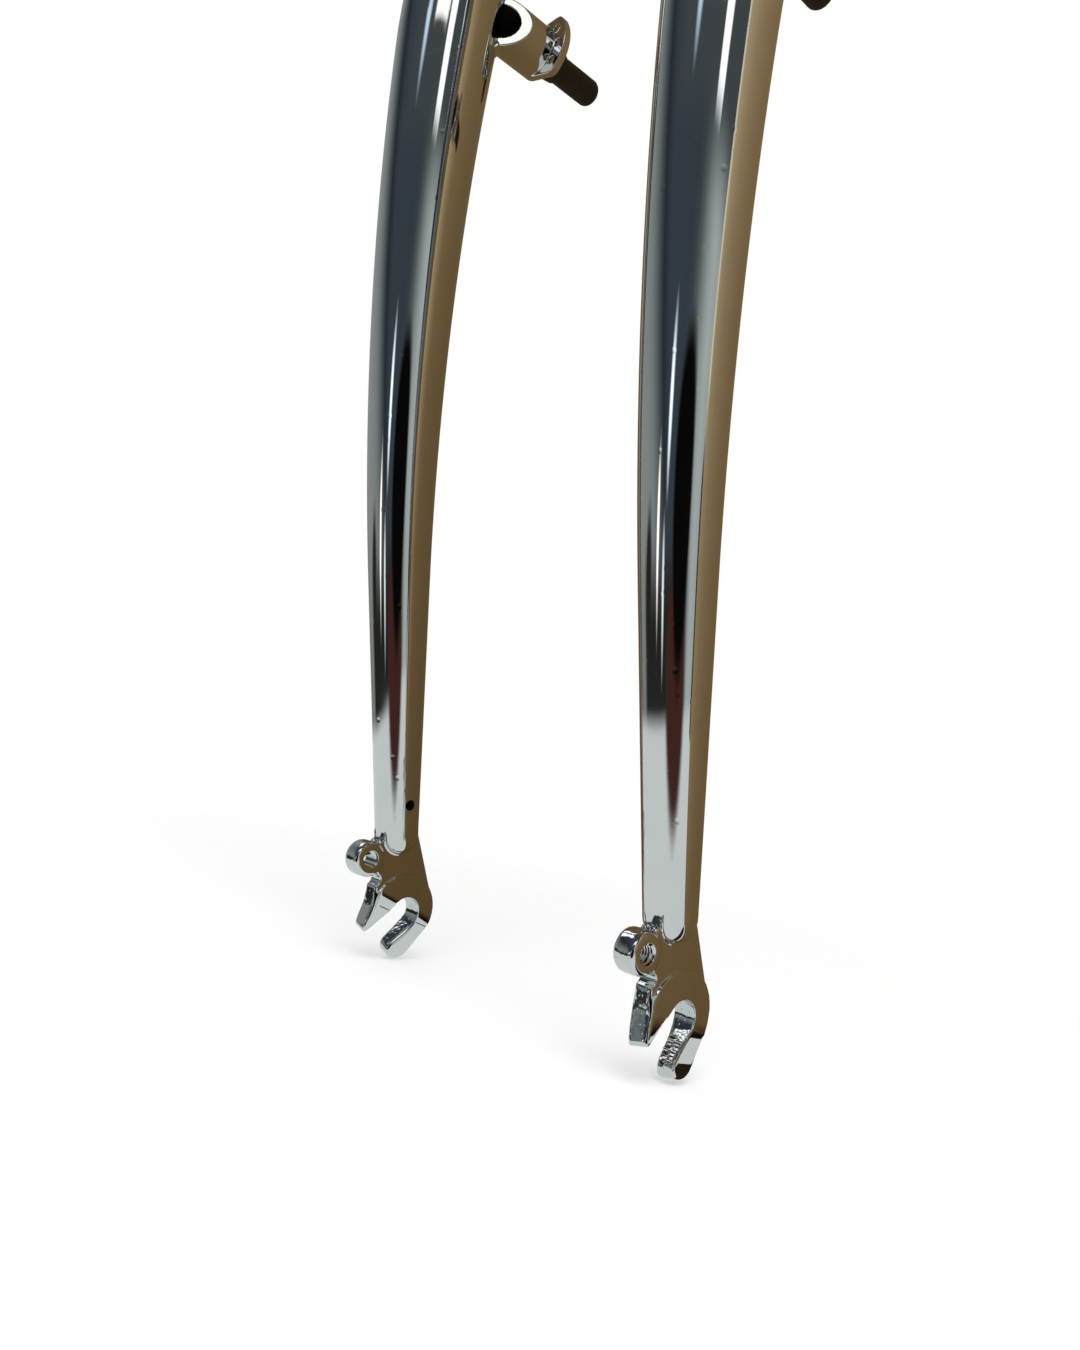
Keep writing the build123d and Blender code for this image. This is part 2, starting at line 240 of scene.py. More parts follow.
def tapered_tube(name, rows):
    bpy.ops.curve.primitive_bezier_curve_add()
    piece = bpy.context.object
    piece.name = name
    curve = piece.data
    curve.bevel_depth = MM
    curve.bevel_resolution = 62
    curve.resolution_u = 44
    spline = curve.splines[0]
    spline.bezier_points.add(len(rows) - 2)
    spline.radius_interpolation = "LINEAR"
    for number, (point, direction, radius) in enumerate(rows):
        knot = spline.bezier_points[number]
        before = handle_length(rows[number - 1], rows[number]) if number else 1.0
        after = handle_length(rows[number], rows[number + 1]) if number + 1 < len(rows) else 1.0
        knot.handle_left_type = knot.handle_right_type = "FREE"
        knot.co = point * MM
        knot.handle_left = (point - direction * before) * MM
        knot.handle_right = (point + direction * after) * MM
        knot.radius = radius
    select_only(piece)
    bpy.ops.object.convert(target="MESH")
    return bpy.context.object


blade = tapered_tube("blade_left", stations)
blade.data.materials.append(polished_chrome)
print("blade tube:", len(blade.data.vertices), "vertices")


# %% [markdown]
# The lower end of the blade is forged round over the fork end. Its open rim is extruded in small steps along
# a quarter circle and shrunk at each step, until the last ring closes to a point.

# %% The round lower end
def clean(piece):
    """Merges doubled vertices and turns all faces outward."""
    select_only(piece)
    bpy.ops.object.mode_set(mode="EDIT")
    bpy.ops.mesh.select_all(action="SELECT")
    bpy.ops.mesh.remove_doubles(threshold=0.000001)
    bpy.ops.mesh.normals_make_consistent(inside=False)
    bpy.ops.object.mode_set(mode="OBJECT")
    return piece


def select_near(piece, point, reach):
    """Enters edit mode with just the vertices near a point selected, given in millimetres."""
    select_only(piece)
    bpy.ops.object.mode_set(mode="EDIT")
    bpy.ops.mesh.select_mode(type="VERT")
    bpy.ops.mesh.select_all(action="DESELECT")
    bpy.ops.object.mode_set(mode="OBJECT")
    for vertex in piece.data.vertices:
        vertex.select = (vertex.co - point * MM).length < reach * MM
    bpy.ops.object.mode_set(mode="EDIT")


def close_round(piece, centre, direction, radius, steps):
    select_near(piece, centre, radius * 1.01)
    size = 1.0
    height = 0.0
    for step in range(1, steps):
        angle = quarter * step / steps
        rise = radius * math.sin(angle) - height
        height += rise
        bpy.ops.mesh.extrude_edges_move(TRANSFORM_OT_translate={"value": direction * rise * MM})
        ratio = math.cos(angle) / size
        size = math.cos(angle)
        middle = (centre + direction * height) * MM
        bpy.ops.transform.resize(value=(ratio, ratio, ratio), center_override=middle)
    bpy.ops.mesh.extrude_edges_move(TRANSFORM_OT_translate={"value": direction * (radius - height) * MM})
    bpy.ops.mesh.merge(type="CENTER")
    bpy.ops.mesh.select_all(action="SELECT")
    bpy.ops.mesh.fill_holes(sides=0)
    bpy.ops.object.mode_set(mode="OBJECT")
    clean(piece)


close_round(blade, tip_point, tip_direction, TIP_RADIUS, 14)
print("blade with its round end:", len(blade.data.vertices), "vertices")


# %% [markdown]
# At the crown the tube is coped, which means cut to the round of the steerer, and a small hole near the
# lower end lets hot gas out while the fork end is brazed in. Both are cut with a cylinder. The cylinder for
# the hole carries the dark steel, painted near black as shade in the hole, so the wall of the hole takes it
# over.

# %% Cope and vent hole
def settle(piece):
    """Puts the piece's place, turn and size into its vertices, so that the object sits at the origin."""
    select_only(piece)
    bpy.ops.object.transform_apply(location=True, rotation=True, scale=True)
    return piece


def apply_modifier(piece, kind, **settings):
    modifier = piece.modifiers.new(kind.lower(), kind)
    for key, value in settings.items():
        setattr(modifier, key, value)
    select_only(piece)
    bpy.ops.object.modifier_apply(modifier=modifier.name)


def cylinder(name, radius, depth, centre, turn=(0, 0, 0), sides=96):
    bpy.ops.mesh.primitive_cylinder_add(vertices=sides, radius=radius * MM, depth=depth * MM,
                                        location=centre * MM, rotation=turn)
    piece = bpy.context.object
    piece.name = name
    return settle(piece)


def cut(piece, cutter):
    apply_modifier(piece, "BOOLEAN", operation="DIFFERENCE", solver="EXACT", object=cutter,
                   material_mode="TRANSFER")
    bpy.data.objects.remove(cutter)


VENT_RADIUS = 1.6
VENT_HEIGHT = 9.4
cut(blade, cylinder("cope", 14.2, 120.0, Vector((0, 0, -20.0)), sides=192))
vent_point = tip_point - tip_direction * VENT_HEIGHT + Vector((0, -5.0, 0))
vent = cylinder("vent", VENT_RADIUS, 7.0, vent_point, (quarter, 0, 0), 48)
# The vent's wall gets bare steel painted near black, as painted shade in the hole.
vent.data.materials.append(bare_steel_painted_shade)
cut(blade, vent)
print("blade coped and vented:", len(blade.data.polygons), "faces")


# %% [markdown]
# The weld at the crown is a row of small puddles, each laid over the one before. A thin curve follows the
# line where the two tubes meet, and the radius of its points swells and shrinks once for every puddle.

# %% Weld bead at the crown
def bead(name, points, radii, closed=False):
    bpy.ops.curve.primitive_bezier_curve_add()
    piece = bpy.context.object
    piece.name = name
    curve = piece.data
    curve.splines.clear()
    spline = curve.splines.new("POLY")
    spline.points.add(len(points) - 1)
    spline.use_cyclic_u = closed
    for knot, point, radius in zip(spline.points, points, radii):
        knot.co = (*(point * MM), 1.0)
        knot.radius = radius
    curve.bevel_depth = MM
    curve.bevel_resolution = 4
    curve.use_fill_caps = not closed
    select_only(piece)
    bpy.ops.object.convert(target="MESH")
    return clean(bpy.context.object)


def join(name, *pieces):
    select_only(*pieces)
    bpy.ops.object.join()
    piece = bpy.context.object
    piece.name = name
    return piece


def crown_point(angle):
    """On the line where the blade's tube meets the steerer, at an angle around the blade."""
    side = abs(math.sin(angle))
    travel = (side - math.cos(CROWN_SLOPE) * math.sin(angle)) / math.sin(CROWN_SLOPE)
    rise = math.sin(CROWN_SLOPE) * math.sin(angle) - math.cos(CROWN_SLOPE) * travel
    return CROWN + Vector((math.cos(angle), side, rise)) * BLADE_RADIUS


PUDDLES = 40
weld_angles = [2 * math.pi * number / 240 for number in range(240)]
weld = bead("crown_weld_left", [crown_point(angle) for angle in weld_angles],
            [1.55 + 0.32 * math.cos(PUDDLES * angle) for angle in weld_angles], closed=True)
weld.data.materials.append(rough_chrome)
print("weld bead:", len(weld.data.polygons), "faces")
blade = join("blade_left", weld, blade)
select_only(blade)
bpy.ops.object.shade_smooth_by_angle(angle=math.radians(35))


# %% [markdown]
# ## Fork ends
# Each fork end is cut from thick plate, its lips are pressed outward and it is brazed into the blade. The CAD
# plate has sharp edges. Melted brass and a long polish round them off, so the plate is joined with beads of
# braze, remeshed as one skin and smoothed.

# %% Plate and braze
def cad_copy(node, name):
    """A free copy of a CAD node's mesh, merged. The node itself stays as it is."""
    piece = bpy.data.objects.new(name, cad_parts[node].data.copy())
    bpy.context.scene.collection.objects.link(piece)
    piece.data.materials.clear()
    return clean(piece)


def torus(name, ring, tube, centre, turn):
    bpy.ops.mesh.primitive_torus_add(major_radius=ring * MM, minor_radius=tube * MM, major_segments=64,
                                     minor_segments=16, location=centre * MM, rotation=turn)
    piece = bpy.context.object
    piece.name = name
    return settle(piece)


def blob(name, radius, centre, stretch):
    bpy.ops.mesh.primitive_ico_sphere_add(subdivisions=3, radius=radius * MM, location=centre * MM)
    piece = bpy.context.object
    piece.name = name
    piece.scale = stretch
    return settle(piece)


PLATE_Y = 53.2
parts = [cad_copy("fork_end_left", "plate")]
for face in (-2.5, 2.5):
    centre = Vector((tip_point.x, PLATE_Y + face, tip_point.z))
    parts.append(torus("braze", 5.9, 0.4, centre, (quarter, 0, 0)))
for face in (-1.6, 1.6):
    parts.append(blob("braze", 1.3, Vector((31.4, PLATE_Y + face, -389.3)), (1.2, 0.8, 1.0)))
fork_end = join("end_left", *parts)
print("fork end before the remesh:", len(fork_end.data.polygons), "faces")


# %% [markdown]
# A voxel remesh wraps all that touches in one closed skin. Its faces are a fifth of a millimetre wide, finer
# than the picture shows, so the shape of the CAD plate stays. A few rounds of smoothing melt the seams.

# %% One skin
def one_skin(piece, voxel, rounds):
    apply_modifier(piece, "REMESH", mode="VOXEL", voxel_size=voxel * MM, adaptivity=0.0)
    apply_modifier(piece, "SMOOTH", factor=0.5, iterations=rounds)
    clean(piece)
    select_only(piece)
    bpy.ops.object.shade_smooth()


one_skin(fork_end, 0.2, 8)
print("fork end as one skin:", len(fork_end.data.polygons), "faces")

# %% [markdown]
# A press does not fold steel in a line: the lips leave the plate in a long soft bend. The bend is pushed
# outward a third of a millimetre with the Displace modifier, most at the crease. The polishing wheel takes
# most off what sticks out, so the edges of the lips are smoothed further. Each round of smoothing takes in a
# wider band along the edges, since it finds them by the way the skin faces.


# %% Soft bend and edges of the lips
def weighted(piece, name, weight):
    """Vertex group with a weight that depends on the place, in millimetres, and on the way the skin faces."""
    group = piece.vertex_groups.new(name=name)
    for vertex in piece.data.vertices:
        share = weight(vertex.co / MM, vertex.normal)
        if share > 0.001:
            group.add([vertex.index], min(share, 1.0), "REPLACE")
    return name


INNER_FACE = 50.0
SEAT_THICKNESS = 6.4
CREASE = Vector((44.0, 0, -410.2))
LIP_FALL = math.radians(17.2)
BEND_REACH = 6.0
EDGE_ROUNDS = 8
lip_way = Vector((-math.sin(LIP_FALL), 0, -math.cos(LIP_FALL)))


def below_crease(place):
    return (place - CREASE).dot(lip_way)


def bend_share(place, facing):
    """A parabola over the crease, lower on the outer face of the plate."""
    travel = below_crease(place)
    if abs(travel) > BEND_REACH:
        return 0.0
    outward = min(1.0, max(0.0, (place.y - INNER_FACE) / SEAT_THICKNESS))
    rise = (travel + BEND_REACH) ** 2 / (4 * BEND_REACH) - max(0.0, travel)
    return rise / (BEND_REACH / 4) * (1 - 0.44 * outward)


def edge_share(place, facing):
    """Edges of the lips, which face neither along the plate nor across it. The outer ones count less."""
    side = 0.3 if facing.y > 0 else 1.0
    return side * below_crease(place) / 3 if 0.08 < abs(facing.y) < 0.97 else 0.0


apply_modifier(fork_end, "DISPLACE", direction="Y", strength=0.353 * MM, mid_level=0.0,
               vertex_group=weighted(fork_end, "bend", bend_share))
for number in range(EDGE_ROUNDS):
    apply_modifier(fork_end, "SMOOTH", factor=0.5, iterations=22,
                   vertex_group=weighted(fork_end, f"edges {number}", edge_share))
print("lips bent, their edges smoothed in", EDGE_ROUNDS, "rounds")

# %% [markdown]
# Three places are worn or polished more than the rest: the bend behind the slot, the rim of the eyelet, and
# the inner edge of the slot's front wall, where the axle slides in. Each has a share that fades out around
# it, and a number of rounds that sets how wide the round is.

# %% Crease, slot and rim
AXLE = Vector((44.0, PLATE_Y, -409.4))
EYELET = Vector((27.6, PLATE_Y, -394.2))
SLOT_ANGLE = math.radians(41)
SLOT_WALL = 4.75
SLOT_ROUND = 2.4
slot_way = Vector((-math.sin(SLOT_ANGLE), 0, -math.cos(SLOT_ANGLE)))
slot_side = Vector((-slot_way.z, 0, slot_way.x))


def crease_share(place, facing):
    return max(0.0, 1.3 - abs(below_crease(place)) / 4) * min(1.0, max(0.0, 34.0 - place.x))


def inner_edge_share(place, facing):
    along = (place - AXLE).dot(slot_way)
    inside = place.y - INNER_FACE - 0.24 * max(0.0, below_crease(place))
    reach = math.hypot((place - AXLE).dot(slot_side) - SLOT_WALL, inside)
    return max(0.0, SLOT_ROUND - reach) / 1.2 * min(1.0, max(0.0, along / 4))


def rim_share(place, facing):
    return 1.0 if 3.3 < math.hypot(place.x - EYELET.x, place.z - EYELET.z) < 5.6 else 0.0


smoothed = [("crease", crease_share, 150), ("slot", inner_edge_share, 180), ("rim", rim_share, 40)]
for name, share, rounds in smoothed:
    apply_modifier(fork_end, "SMOOTH", factor=0.5, iterations=rounds,
                   vertex_group=weighted(fork_end, name, share))
print("smoothed further:", ", ".join(row[0] for row in smoothed))

# %% [markdown]
# The two fork ends differ in one thing: along the slot of the right one the die has torn the steel in small
# ridges. A copy of the plate gets them, still on the left, and is mirrored later. The ridges lie across the
# front wall of the slot in two rows, and take the skin of the plate in a second remesh.


# %% Ridges in the right slot
def duplicate(piece, name):
    select_only(piece)
    bpy.ops.object.duplicate()
    copy = bpy.context.object
    copy.name = name
    return copy


def wall_middle(travel):
    """Middle of the slot's front wall, as the lip bends outward."""
    return PLATE_Y + max(0.0, travel - 1.0) * 0.18


ridges = []
for number in range(9):
    for row, shift in ((-1, 0.0), (1, 0.4)):
        uneven = math.sin(2.3 * number + row)
        travel = 2.0 + shift + 0.85 * number + 0.15 * uneven
        place = AXLE + slot_side * (SLOT_WALL + 0.1) + slot_way * travel
        place.y = wall_middle(travel) + 0.6 + row * 1.0
        lean = math.radians(7 * math.sin(3.1 * number))
        ridges.append(cylinder("ridge", 0.4, 1.9 + 0.4 * uneven, place, (quarter + lean, 0, 0), 12))
torn_end = join("end_right", *ridges, duplicate(fork_end, "end_right"))
one_skin(torn_end, 0.18, 2)
print("fork end with ridges:", len(torn_end.data.polygons), "faces")

# %% [markdown]
# On both ends the sheared edges are roughened a little and take the rougher chrome. The plate does not reach
# the bottom of the gaps in the inner row of ridges, so the bare steel there is painted near black, as painted
# shade in the gaps.


# %% Torn edges
def sheared(place, facing):
    """1 where the skin faces along the plate, as the sheared edges do."""
    return 1.0 if abs(facing.y) < 0.35 else 0.0


grit = bpy.data.textures.new("torn steel", "CLOUDS")
grit.noise_scale = 1.2 * MM
for piece in (fork_end, torn_end):
    for material in (polished_chrome, rough_chrome):
        piece.data.materials.append(material)
    apply_modifier(piece, "DISPLACE", texture=grit, texture_coords="LOCAL", strength=0.06 * MM,
                   mid_level=1.0, vertex_group=weighted(piece, "torn", sheared))
    for face in piece.data.polygons:
        face.material_index = int(sheared(face.center, face.normal))
# Faces in the gaps between ridges take bare steel painted near black: painted shade in the gaps.
torn_end.data.materials.append(bare_steel_painted_shade)
gaps = 0
for face in torn_end.data.polygons:
    middle = face.center / MM
    travel = (middle - AXLE).dot(slot_way)
    depth = (middle - AXLE).dot(slot_side) - SLOT_WALL
    if 1.6 < travel < 9.6 and -0.1 < depth < 0.4 and -1.2 < middle.y - wall_middle(travel) < 0.4:
        face.material_index = 2
        gaps += 1
print("torn edges, with", gaps, "faces in the gaps")

# %% [markdown]
# The eyelet takes the screw of a mudguard stay. Its thread is a small triangle turned about the hole's axis
# with the Screw modifier, which climbs 0.8 mm on each turn, the pitch of an M5 screw.


# %% Thread in the eyelet
def thread(name, centre, radius, pitch, turns):
    bpy.ops.mesh.primitive_circle_add(vertices=3, radius=0.42 * MM, rotation=(quarter, 0, 0))
    piece = settle(bpy.context.object)
    piece.name = name
    select_only(piece)
    bpy.ops.object.mode_set(mode="EDIT")
    bpy.ops.mesh.select_all(action="SELECT")
    bpy.ops.transform.rotate(value=quarter, orient_axis="Y", center_override=(0, 0, 0))
    bpy.ops.transform.translate(value=mm(radius, 0, 0))
    bpy.ops.object.mode_set(mode="OBJECT")
    apply_modifier(piece, "SCREW", axis="Z", screw_offset=pitch * MM, iterations=turns, steps=40,
                   render_steps=40, use_smooth_shade=True)
    select_only(piece)
    bpy.ops.object.mode_set(mode="EDIT")
    bpy.ops.mesh.select_all(action="SELECT")
    bpy.ops.mesh.fill_holes(sides=0)
    bpy.ops.object.mode_set(mode="OBJECT")
    piece.rotation_euler = (quarter, 0, 0)
    piece.location = (centre + Vector((0, turns * pitch / 2, 0))) * MM
    settle(piece)
    return clean(piece)


eyelet_thread = thread("eyelet_thread_left", EYELET, 2.42, 0.8, 7)
eyelet_thread.data.materials.append(polished_chrome)
select_only(eyelet_thread)
bpy.ops.object.shade_smooth_by_angle(angle=math.radians(30))
torn_end = join("end_right", duplicate(eyelet_thread, "eyelet_thread_right"), torn_end)
fork_end = join("end_left", eyelet_thread, fork_end)
for piece in (fork_end, torn_end):
    print(piece.name, "with its thread:", len(piece.data.polygons), "faces")

# %% [markdown]
# ## Brake bosses
# A boss is a short piece of tube, cut aslant at the rear and coped to the blade, with an ear for the end of
# the brake's spring. It is brazed on, which leaves a soft bead of metal all along the joint. Boss and bead
# become one skin, as the plate did. Plating does not reach into the bore, so faces that look at its axis are
# bare steel, painted near black as the shade inside the bore.

# %% Boss and its braze
BOSS_Y = 41.8
BOSS_Z = -150.0
BOSS_RADIUS = 7.5
BLADE_Y = 51.49
JOINT_POINTS = 60
joint = []
for number in range(JOINT_POINTS):
    angle = math.radians(-100 + 200 * number / (JOINT_POINTS - 1))
    y = BOSS_Y + BOSS_RADIUS * math.cos(angle)
    z = BOSS_Z + BOSS_RADIUS * math.sin(angle)
    joint.append(Vector((math.sqrt(max(0.0, BLADE_RADIUS ** 2 - (y - BLADE_Y) ** 2)), y, z)))
braze = bead("boss_braze", joint, [1.0 + 0.12 * math.sin(1.7 * number) for number in range(JOINT_POINTS)])
boss = join("boss_left", cad_copy("brake_boss_left", "boss"), braze)
one_skin(boss, 0.16, 6)
boss.data.materials.append(polished_chrome)
# Faces in the bore take bare steel painted near black: painted shade inside the bore.
boss.data.materials.append(bare_steel_painted_shade)
for face in boss.data.polygons:
    from_axis = face.center / MM - Vector((0, BOSS_Y, BOSS_Z))
    from_axis.x = 0
    in_bore = from_axis.length < 5.5 and face.normal.dot(from_axis) < -3
    face.material_index = 1 if in_bore else 0
print("boss:", len(boss.data.polygons), "faces")

# %% [markdown]
# ## Pivot studs and steerer
# Both are turned on a lathe, and are modelled as a lathe would make them: a circle of vertices is extruded
# from ring to ring along the profile and resized at each. A narrow bevel breaks every edge, as a file does.


# %% A lathe
def lathe(name, profile, closed, edge):
    """Piece turned about Z. The profile is a list of heights and radii in millimetres."""
    height, radius = profile[0]
    bpy.ops.mesh.primitive_circle_add(vertices=128, radius=radius * MM, location=mm(0, 0, height))
    piece = settle(bpy.context.object)
    piece.name = name
    bpy.ops.object.mode_set(mode="EDIT")
    bpy.ops.mesh.select_all(action="SELECT")
    for next_height, next_radius in profile[1:]:
        step = mm(0, 0, next_height - height)
        bpy.ops.mesh.extrude_edges_move(TRANSFORM_OT_translate={"value": step})
        ratio = next_radius / radius
        bpy.ops.transform.resize(value=(ratio, ratio, 1), center_override=mm(0, 0, next_height))
        height, radius = next_height, next_radius
    bpy.ops.mesh.select_all(action="SELECT")
    bpy.ops.mesh.remove_doubles(threshold=0.000001)
    if not closed:
        bpy.ops.mesh.fill_holes(sides=0)
    bpy.ops.object.mode_set(mode="OBJECT")
    clean(piece)
    apply_modifier(piece, "BEVEL", width=edge * MM, segments=3, limit_method="ANGLE",
                   angle_limit=math.radians(25))
    select_only(piece)
    bpy.ops.object.shade_smooth_by_angle(angle=math.radians(35))
    return piece


# %% Stud and steerer
TIP_ROUND = 2.6
shank_and_shoulder = [(19.8, 5.1), (27.8, 5.1), (27.8, 5.3), (34.1, 4.5), (34.1, 4.0)]
pin_tip = [(47.5 + TIP_ROUND * math.sin(math.radians(angle)), 1.4 + TIP_ROUND * math.cos(math.radians(angle)))
           for angle in range(0, 75, 15)]
bolt_hole = [(49.855, 2.5), (38.1, 2.5)]
stud = lathe("stud_left", shank_and_shoulder + pin_tip + bolt_hole, False, 0.08)
stud.rotation_euler = (0, quarter, 0)
stud.location = mm(0, BOSS_Y, BOSS_Z)
settle(stud)
stud.data.materials.append(black_oxide)
foot = [(-44, 12.7), (-44, 14.3), (-6, 14.3)]
race_seat = [(-6, 17.97), (0, 17.97), (0, 15), (8, 15)]
tube = [(8, 14.3), (250, 14.3), (250, 12.7), (-44, 12.7)]
steerer = lathe("steerer", foot + race_seat + tube, True, 0.3)
steerer.data.materials.append(polished_chrome)
print("turned:", stud.name, "and", steerer.name)

# %% [markdown]
# ## The right side
# Every left piece is copied, and the copy is mirrored in the plane between the blades. A mirrored mesh is
# inside out, so its faces are turned outward again. The fork end with the ridges is such a copy already.


# %% Mirror the pieces and put them on the frame
def mirror(piece):
    select_only(piece)
    bpy.ops.object.mode_set(mode="EDIT")
    bpy.ops.mesh.select_all(action="SELECT")
    bpy.ops.transform.resize(value=(1, -1, 1), center_override=(0, 0, 0))
    bpy.ops.mesh.normals_make_consistent(inside=False)
    bpy.ops.object.mode_set(mode="OBJECT")
    return piece


sided = [(blade, "fork_blade", "chromed_steel"), (fork_end, "fork_end", "chromed_steel"),
         (boss, "brake_boss", "chromed_steel"), (stud, "pivot_stud", "black_oxide_steel")]
pieces = [(steerer, "steerer_tube", "chromed_steel")]
for piece, node, slot in sided:
    pieces.append((piece, node + "_left", slot))
    copy = torn_end if piece == fork_end else duplicate(piece, piece.name.replace("left", "right"))
    pieces.append((mirror(copy), node + "_right", slot))
for piece, node, slot in pieces:
    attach(piece, "root")
    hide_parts(node)
print("pieces on the frame:", ", ".join(row[0].name for row in pieces))

# %% [markdown]
# ## What the chrome mirrors
# Chrome has hardly any colour of its own: what one sees is the room. A dome around the object carries the
# room as soft fields of colour: pale walls at the sides, a slate dark behind the viewer, a white table. Cards
# stand for lamps and for a brown board close in front. All of it is seen in reflections only. The walls are
# a colour ramp around the dome, with a stop for each azimuth in degrees. On the left they slant with height.

# %% Walls of the room
MIDDLE = Vector((0.03, 0.0, -0.33))
bpy.ops.mesh.primitive_uv_sphere_add(segments=64, ring_count=32, radius=3.0, location=MIDDLE)
dome = bpy.context.object
dome.name = "room"
room, tree = new_material("soft room")
place = add_node(tree, "TexCoord").outputs["Object"]
way = add_node(tree, "VectorMath", {0: place}, operation="NORMALIZE").outputs["Vector"]
turn = add_node(tree, "TexGradient", {"Vector": way}, gradient_type="RADIAL").outputs["Fac"]
walls = [(-180, "#3F4750"), (-150, "#3E474E"), (-140, "#454E52"), (-130, "#626B6B"), (-120, "#8C9593"),
         (-110, "#ACB4B1"), (-100, "#BCC4C1"), (-88, "#B4BAB4"), (0, "#D8D8D4"), (60, "#A0A09B"),
         (80, "#80837D"), (100, "#9A9C97"), (120, "#969B98"), (130, "#909694"), (137, "#8A9090"),
         (147, "#737A7B"), (157, "#50565A"), (166, "#2E343A"), (180, "#3F4750")]
axes = add_node(tree, "SeparateXYZ", {"Vector": way}).outputs
left = add_node(tree, "Math", {0: turn, 1: 0.55}, operation="GREATER_THAN").outputs["Value"]
lift = add_node(tree, "Math", {0: left, 1: axes["Z"]}, operation="MULTIPLY").outputs["Value"]
turned = add_node(tree, "Math", {0: lift, 1: 0.207, 2: turn}, operation="MULTIPLY_ADD").outputs["Value"]
wall = add_node(tree, "ValToRGB", {"Fac": turned}, [((azimuth + 180) / 360, code) for azimuth, code in walls])
print("walls:", len(walls), "stops")


# %% [markdown]
# A white table, a dark strip under its far edge and a dim ceiling lie over the walls. Each is a field of the
# dome with a soft border, given by where the fade along an axis starts and where it ends. The table leans, so
# its axis leans too.

# %% Table and ceiling of the room
def only_reflected(piece):
    piece.visible_camera = False
    piece.visible_diffuse = False
    piece.visible_shadow = False
    piece.visible_volume_scatter = False


slant = add_node(tree, "VectorMath", {0: way, 1: (-0.2585, 0.0, 1.0)}, operation="DOT_PRODUCT")
slant = slant.outputs["Value"]
fields = {}
for name, axis, start, end in (("table", slant, -0.155, -0.185), ("skirt", slant, 0.06, -0.08),
                               ("rear", axes["X"], -0.25, -0.5), ("above", axes["Z"], 0.29, 0.43),
                               ("right", axes["Y"], 0.55, 0.15)):
    field = add_node(tree, "MapRange", {"Value": axis, "From Min": start, "From Max": end},
                     interpolation_type="SMOOTHSTEP")
    fields[name] = field.outputs["Result"]
under = add_node(tree, "Math", {0: fields["skirt"], 1: fields["rear"]}, operation="MULTIPLY")
ceiling = add_node(tree, "Math", {0: fields["above"], 1: fields["right"]}, operation="MULTIPLY")
shown = wall.outputs["Color"]
for share, code in ((under.outputs["Value"], "#282A25"), (fields["table"], "#E2E8E4"),
                    (ceiling.outputs["Value"], "#4A5052")):
    shown = add_node(tree, "Mix", {0: share, 6: shown, 7: colour(code)}, data_type="RGBA").outputs[2]
light = add_node(tree, "Emission", {"Color": shown})
add_node(tree, "OutputMaterial", {"Surface": light.outputs["Emission"]})
dome.data.materials.append(room)
only_reflected(dome)
print("dome:", dome.name)


# %% [markdown]
# A card is a flat plane that faces the object from a direction, given as azimuth and elevation in degrees,
# and can be rolled about that direction. Its edges fade out, as lamps and dark things do in a room that is a
# little out of focus. An oval card fades with the distance from its middle.

# %% Cards
def card(name, azimuth, elevation, width, height, code, strength, soft, roll=0.0, oval=False, distance=2.4):
    az, el = math.radians(azimuth), math.radians(elevation)
    way = Vector((math.cos(el) * math.cos(az), math.cos(el) * math.sin(az), math.sin(el)))
    bpy.ops.mesh.primitive_plane_add(size=1.0, location=MIDDLE + way * distance)
    piece = bpy.context.object
    piece.name = name
    upright = (-way).to_track_quat("Z", "Y")
    piece.rotation_euler = (upright @ Quaternion((0, 0, 1), math.radians(roll))).to_euler()
    piece.scale = [2 * distance * math.tan(math.radians(angle / 2)) for angle in (width, height)] + [1]
    material, tree = new_material(name)
    place = add_node(tree, "TexCoord").outputs["UV"]
    if oval:
        reach = add_node(tree, "VectorMath", {0: place, 1: (0.5, 0.5, 0)}, operation="DISTANCE")
        inside = add_node(tree, "Math", {0: 0.5, 1: reach.outputs["Value"]}, operation="SUBTRACT")
        insides = [inside.outputs["Value"]]
    else:
        axes = add_node(tree, "SeparateXYZ", {"Vector": place}).outputs
        insides = [add_node(tree, "Math", {0: axes[axis], 1: 0.5}, operation="PINGPONG").outputs["Value"]
                   for axis in ("X", "Y")]
    cover = 1.0
    for inside in insides:
        fade = add_node(tree, "MapRange", {"Value": inside, "From Max": soft},
                        interpolation_type="SMOOTHSTEP").outputs["Result"]
        cover = add_node(tree, "Math", {0: fade, 1: cover}, operation="MULTIPLY").outputs["Value"]
    glow = add_node(tree, "Emission", {"Color": colour(code), "Strength": strength})
    clear = add_node(tree, "BsdfTransparent")
    shown = add_node(tree, "MixShader", {0: cover, 1: clear.outputs["BSDF"], 2: glow.outputs["Emission"]})
    add_node(tree, "OutputMaterial", {"Surface": shown.outputs["Shader"]})
    piece.data.materials.append(material)
    only_reflected(piece)
    return piece


cards = [
    card("window strip", -172, -1, 10, 20, "#E8F2FA", 1.9, 0.4, 25, True),
    card("lamp above right", -122, 34, 13, 25, "#FFFFFF", 1.6, 0.16),
    card("second lamp", -147, 38, 28, 18, "#FFFEF6", 1.5, 0.15),
    card("lamp low left", 161, -11, 9, 19, "#FFF6EA", 2.0, 0.35, 30, True),
    card("high window", -176, 31, 12, 18, "#CFE6F8", 1.3, 0.4, 0, True),
    card("low window", 178, -16, 9, 14, "#E8F0F0", 1.4, 0.4, 20, True),
    card("ceiling lamp", 100, 46.5, 25, 18, "#FFFFFF", 1.8, 0.06),
    card("dark foot", 128, -10, 30, 14, "#2A2C26", 1.0, 0.3, 0, True),
    card("dark card", -134, -5, 52, 29, "#0C0A0A", 1.0, 0.14, -12, True, 2.2),
    card("dim red card", -140, -20, 68, 18, "#4A2C26", 1.0, 0.2, -6, True, 2.3),
]
print("cards:", ", ".join(piece.name for piece in cards))
